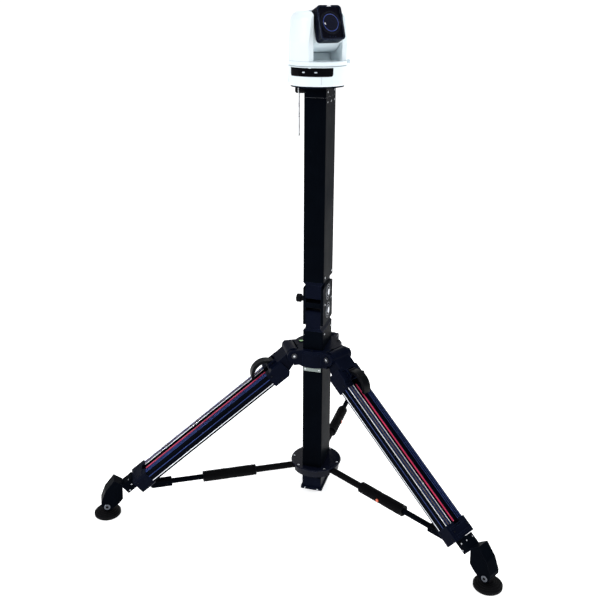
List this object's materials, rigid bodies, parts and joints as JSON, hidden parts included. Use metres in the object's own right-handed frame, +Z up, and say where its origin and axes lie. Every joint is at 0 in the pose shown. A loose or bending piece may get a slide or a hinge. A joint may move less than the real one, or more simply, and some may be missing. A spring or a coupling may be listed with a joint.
{
  "type": "pan-tilt-zoom camera on column tripod",
  "caption": "Pan-tilt-zoom camera on a jointed rectangular column, carried by a twin-tube tripod with spreader arms, lock levers and rubber feet.",
  "frame": {"origin": "on the floor, under the column's vertical axis", "axes": "+Z up along the column, -Y out of the column's narrow front face, +X to the right seen from the front"},
  "size_m": [1.2004, 1.05, 1.4423],
  "materials": {
    "black_anodised": "satin",
    "black_casting": "fine textured",
    "leg_tube_black": "gloss anodised",
    "steel": "bright",
    "grey_plate": "matt anodised",
    "red_trim": "gloss",
    "button_orange": "gloss",
    "black_plastic": "moulded",
    "grip_rubber": "ribbed",
    "foot_rubber": "moulded",
    "vial_green": "clear",
    "tag_white": "matt",
    "white_shell": "satin",
    "window_black": "gloss",
    "bezel_black": "gloss",
    "lens_black": "satin",
    "lens_glass": "coated",
    "guide_plastic": "plain"
  },
  "bodies": {
    "stand": {"crown_body": "black_casting", "bubble_vial": "vial_green", "leg_pivot_bolts": "steel", "lower_column": "black_anodised", "column_foot": "black_casting", "stop_plate": "grey_plate", "lower_hinge_cap": "black_casting"},
    "disc": {"spreader_disc": "black_plastic"},
    "fold_link": {"fold_link": "black_anodised", "fold_pins": "steel"},
    "fold_knob": {"fold_lock_knob": "black_plastic"},
    "upper_column": {"upper_hinge_cap": "black_casting", "upper_column": "black_anodised", "guide_bushes": "guide_plastic"},
    "mast": {"mast_inner": "black_anodised", "camera_plate": "black_anodised", "camera_base_shell": "white_shell", "camera_base_plate": "black_casting", "receiver_window": "window_black", "connector_block": "white_shell", "pan_bearing": "steel"},
    "plate_knob": {"plate_knob": "black_plastic"},
    "tag": {"hanging_tag": "tag_white"},
    "yoke": {"camera_yoke": "white_shell"},
    "head": {"tilt_shafts": "steel", "head_housing": "white_shell", "head_bezel": "bezel_black", "lens_barrel": "lens_black", "lens_glass": "lens_glass"},
    "leg_back": {"leg_casting_back": "black_casting", "leg_tubes_back": "leg_tube_black", "leg_collar_back": "black_casting", "leg_stripe_back": "red_trim"},
    "lever_back": {"lock_lever_back": "black_plastic"},
    "stage_back": {"lower_stage_back": "black_anodised"},
    "foot_back": {"foot_pad_back": "foot_rubber"},
    "arm_back": {"arm_grip_back": "grip_rubber"},
    "arm_rod_back": {"arm_rod_back": "black_anodised"},
    "button_back": {"arm_button_back": "button_orange"},
    "leg_left": {"leg_casting_left": "black_casting", "leg_tubes_left": "leg_tube_black", "leg_collar_left": "black_casting", "leg_stripe_left": "red_trim"},
    "lever_left": {"lock_lever_left": "black_plastic"},
    "stage_left": {"lower_stage_left": "black_anodised"},
    "foot_left": {"foot_pad_left": "foot_rubber"},
    "arm_left": {"arm_grip_left": "grip_rubber"},
    "arm_rod_left": {"arm_rod_left": "black_anodised"},
    "button_left": {"arm_button_left": "button_orange"},
    "leg_right": {"leg_casting_right": "black_casting", "leg_tubes_right": "leg_tube_black", "leg_collar_right": "black_casting", "leg_stripe_right": "red_trim"},
    "lever_right": {"lock_lever_right": "black_plastic"},
    "stage_right": {"lower_stage_right": "black_anodised"},
    "foot_right": {"foot_pad_right": "foot_rubber"},
    "arm_right": {"arm_grip_right": "grip_rubber"},
    "arm_rod_right": {"arm_rod_right": "black_anodised"},
    "button_right": {"arm_button_right": "button_orange"}
  },
  "joints": [
    {"name": "lower_fold", "type": "hinge", "parent": "stand", "child": "fold_link", "pos_m": [0, 0, 0.6062], "axis": [1, 0, 0], "range_deg": [-12, 12]},
    {"name": "upper_fold", "type": "hinge", "parent": "fold_link", "child": "upper_column", "pos_m": [0, 0, 0.6626], "axis": [1, 0, 0], "range_deg": [-12, 12]},
    {"name": "fold_knob_turn", "type": "hinge", "parent": "fold_link", "child": "fold_knob", "pos_m": [-0.05, 0, 0.6344], "axis": [1, 0, 0], "range_deg": [-180, 180]},
    {"name": "mast_slide", "type": "slide", "parent": "upper_column", "child": "mast", "axis": [0, 0, 1], "range_m": [0, 0.3]},
    {"name": "plate_knob_turn", "type": "hinge", "parent": "mast", "child": "plate_knob", "pos_m": [-0.05, 0, 1.229], "axis": [1, 0, 0], "range_deg": [-180, 180]},
    {"name": "tag_swing", "type": "hinge", "parent": "mast", "child": "tag", "pos_m": [-0.0585, 0, 1.229], "axis": [1, 0, 0], "range_deg": [-60, 60]},
    {"name": "camera_pan", "type": "hinge", "parent": "mast", "child": "yoke", "pos_m": [0, -0.03, 1.3], "axis": [0, 0, 1], "range_deg": [-215, 125]},
    {"name": "camera_tilt", "type": "hinge", "parent": "yoke", "child": "head", "pos_m": [0, -0.03, 1.378], "axis": [-0.7071, -0.7071, 0], "range_deg": [-45, 70]},
    {"name": "disc_lift", "type": "slide", "parent": "stand", "child": "disc", "axis": [0, 0, 1], "range_m": [0, 0.1048]},
    {"name": "leg_fold_back", "type": "hinge", "parent": "stand", "child": "leg_back", "pos_m": [0, 0.081, 0.481], "axis": [-1, 0, 0], "range_deg": [0, 20]},
    {"name": "lever_back_open", "type": "hinge", "parent": "leg_back", "child": "lever_back", "pos_m": [0, 0.14214, 0.45246], "axis": [1, 0, 0], "range_deg": [0, 70]},
    {"name": "stage_back_slide", "type": "slide", "parent": "leg_back", "child": "stage_back", "axis": [0, 0.7986, -0.6018], "range_m": [0, 0.28]},
    {"name": "foot_back_tilt", "type": "hinge", "parent": "stage_back", "child": "foot_back", "pos_m": [0, 0.648, 0.036], "axis": [-1, 0, 0], "range_deg": [-20, 20]},
    {"name": "arm_back_turn", "type": "hinge", "parent": "disc", "child": "arm_back", "pos_m": [0, 0.066, 0.089], "axis": [-1, 0, 0], "range_deg": [0, 38]},
    {"name": "arm_back_telescope", "type": "slide", "parent": "arm_back", "child": "arm_rod_back", "axis": [0, 1, -0.009], "range_m": [-0.089, 0]},
    {"name": "button_back_press", "type": "slide", "parent": "arm_back", "child": "button_back", "axis": [-1, 0, 0], "range_m": [0, 0.0025], "stiffness_N_per_m": 600},
    {"name": "leg_fold_left", "type": "hinge", "parent": "stand", "child": "leg_left", "pos_m": [-0.07015, -0.0405, 0.481], "axis": [0.5, -0.866, 0], "range_deg": [0, 20]},
    {"name": "lever_left_open", "type": "hinge", "parent": "leg_left", "child": "lever_left", "pos_m": [-0.12309, -0.07107, 0.45246], "axis": [-0.5, 0.866, 0], "range_deg": [0, 70]},
    {"name": "stage_left_slide", "type": "slide", "parent": "leg_left", "child": "stage_left", "axis": [-0.6916, -0.3993, -0.6018], "range_m": [0, 0.28]},
    {"name": "foot_left_tilt", "type": "hinge", "parent": "stage_left", "child": "foot_left", "pos_m": [-0.56118, -0.324, 0.036], "axis": [0.5, -0.866, 0], "range_deg": [-20, 20]},
    {"name": "arm_left_turn", "type": "hinge", "parent": "disc", "child": "arm_left", "pos_m": [-0.05716, -0.033, 0.089], "axis": [0.5, -0.866, 0], "range_deg": [0, 38]},
    {"name": "arm_left_telescope", "type": "slide", "parent": "arm_left", "child": "arm_rod_left", "axis": [-0.866, -0.5, -0.009], "range_m": [-0.089, 0]},
    {"name": "button_left_press", "type": "slide", "parent": "arm_left", "child": "button_left", "axis": [0.5, -0.866, 0], "range_m": [0, 0.0025], "stiffness_N_per_m": 600},
    {"name": "leg_fold_right", "type": "hinge", "parent": "stand", "child": "leg_right", "pos_m": [0.07015, -0.0405, 0.481], "axis": [0.5, 0.866, 0], "range_deg": [0, 20]},
    {"name": "lever_right_open", "type": "hinge", "parent": "leg_right", "child": "lever_right", "pos_m": [0.12309, -0.07107, 0.45246], "axis": [-0.5, -0.866, 0], "range_deg": [0, 70]},
    {"name": "stage_right_slide", "type": "slide", "parent": "leg_right", "child": "stage_right", "axis": [0.6916, -0.3993, -0.6018], "range_m": [0, 0.28]},
    {"name": "foot_right_tilt", "type": "hinge", "parent": "stage_right", "child": "foot_right", "pos_m": [0.56118, -0.324, 0.036], "axis": [0.5, 0.866, 0], "range_deg": [-20, 20]},
    {"name": "arm_right_turn", "type": "hinge", "parent": "disc", "child": "arm_right", "pos_m": [0.05716, -0.033, 0.089], "axis": [0.5, 0.866, 0], "range_deg": [0, 38]},
    {"name": "arm_right_telescope", "type": "slide", "parent": "arm_right", "child": "arm_rod_right", "axis": [0.866, -0.5, -0.009], "range_m": [-0.089, 0]},
    {"name": "button_right_press", "type": "slide", "parent": "arm_right", "child": "button_right", "axis": [0.5, 0.866, 0], "range_m": [0, 0.0025], "stiffness_N_per_m": 600}
  ],
  "couplings": [
    {"joint": "disc_lift", "follows": "leg_fold_back", "m_per_rad": 0.3},
    {"joint": "arm_back_turn", "follows": "leg_fold_back", "ratio": 1.8957},
    {"joint": "arm_back_telescope", "follows": "leg_fold_back", "m_per_rad": -0.2544},
    {"joint": "leg_fold_left", "follows": "leg_fold_back", "ratio": 1},
    {"joint": "arm_left_turn", "follows": "leg_fold_back", "ratio": 1.8957},
    {"joint": "arm_left_telescope", "follows": "leg_fold_back", "m_per_rad": -0.2544},
    {"joint": "leg_fold_right", "follows": "leg_fold_back", "ratio": 1},
    {"joint": "arm_right_turn", "follows": "leg_fold_back", "ratio": 1.8957},
    {"joint": "arm_right_telescope", "follows": "leg_fold_back", "m_per_rad": -0.2544}
  ]
}
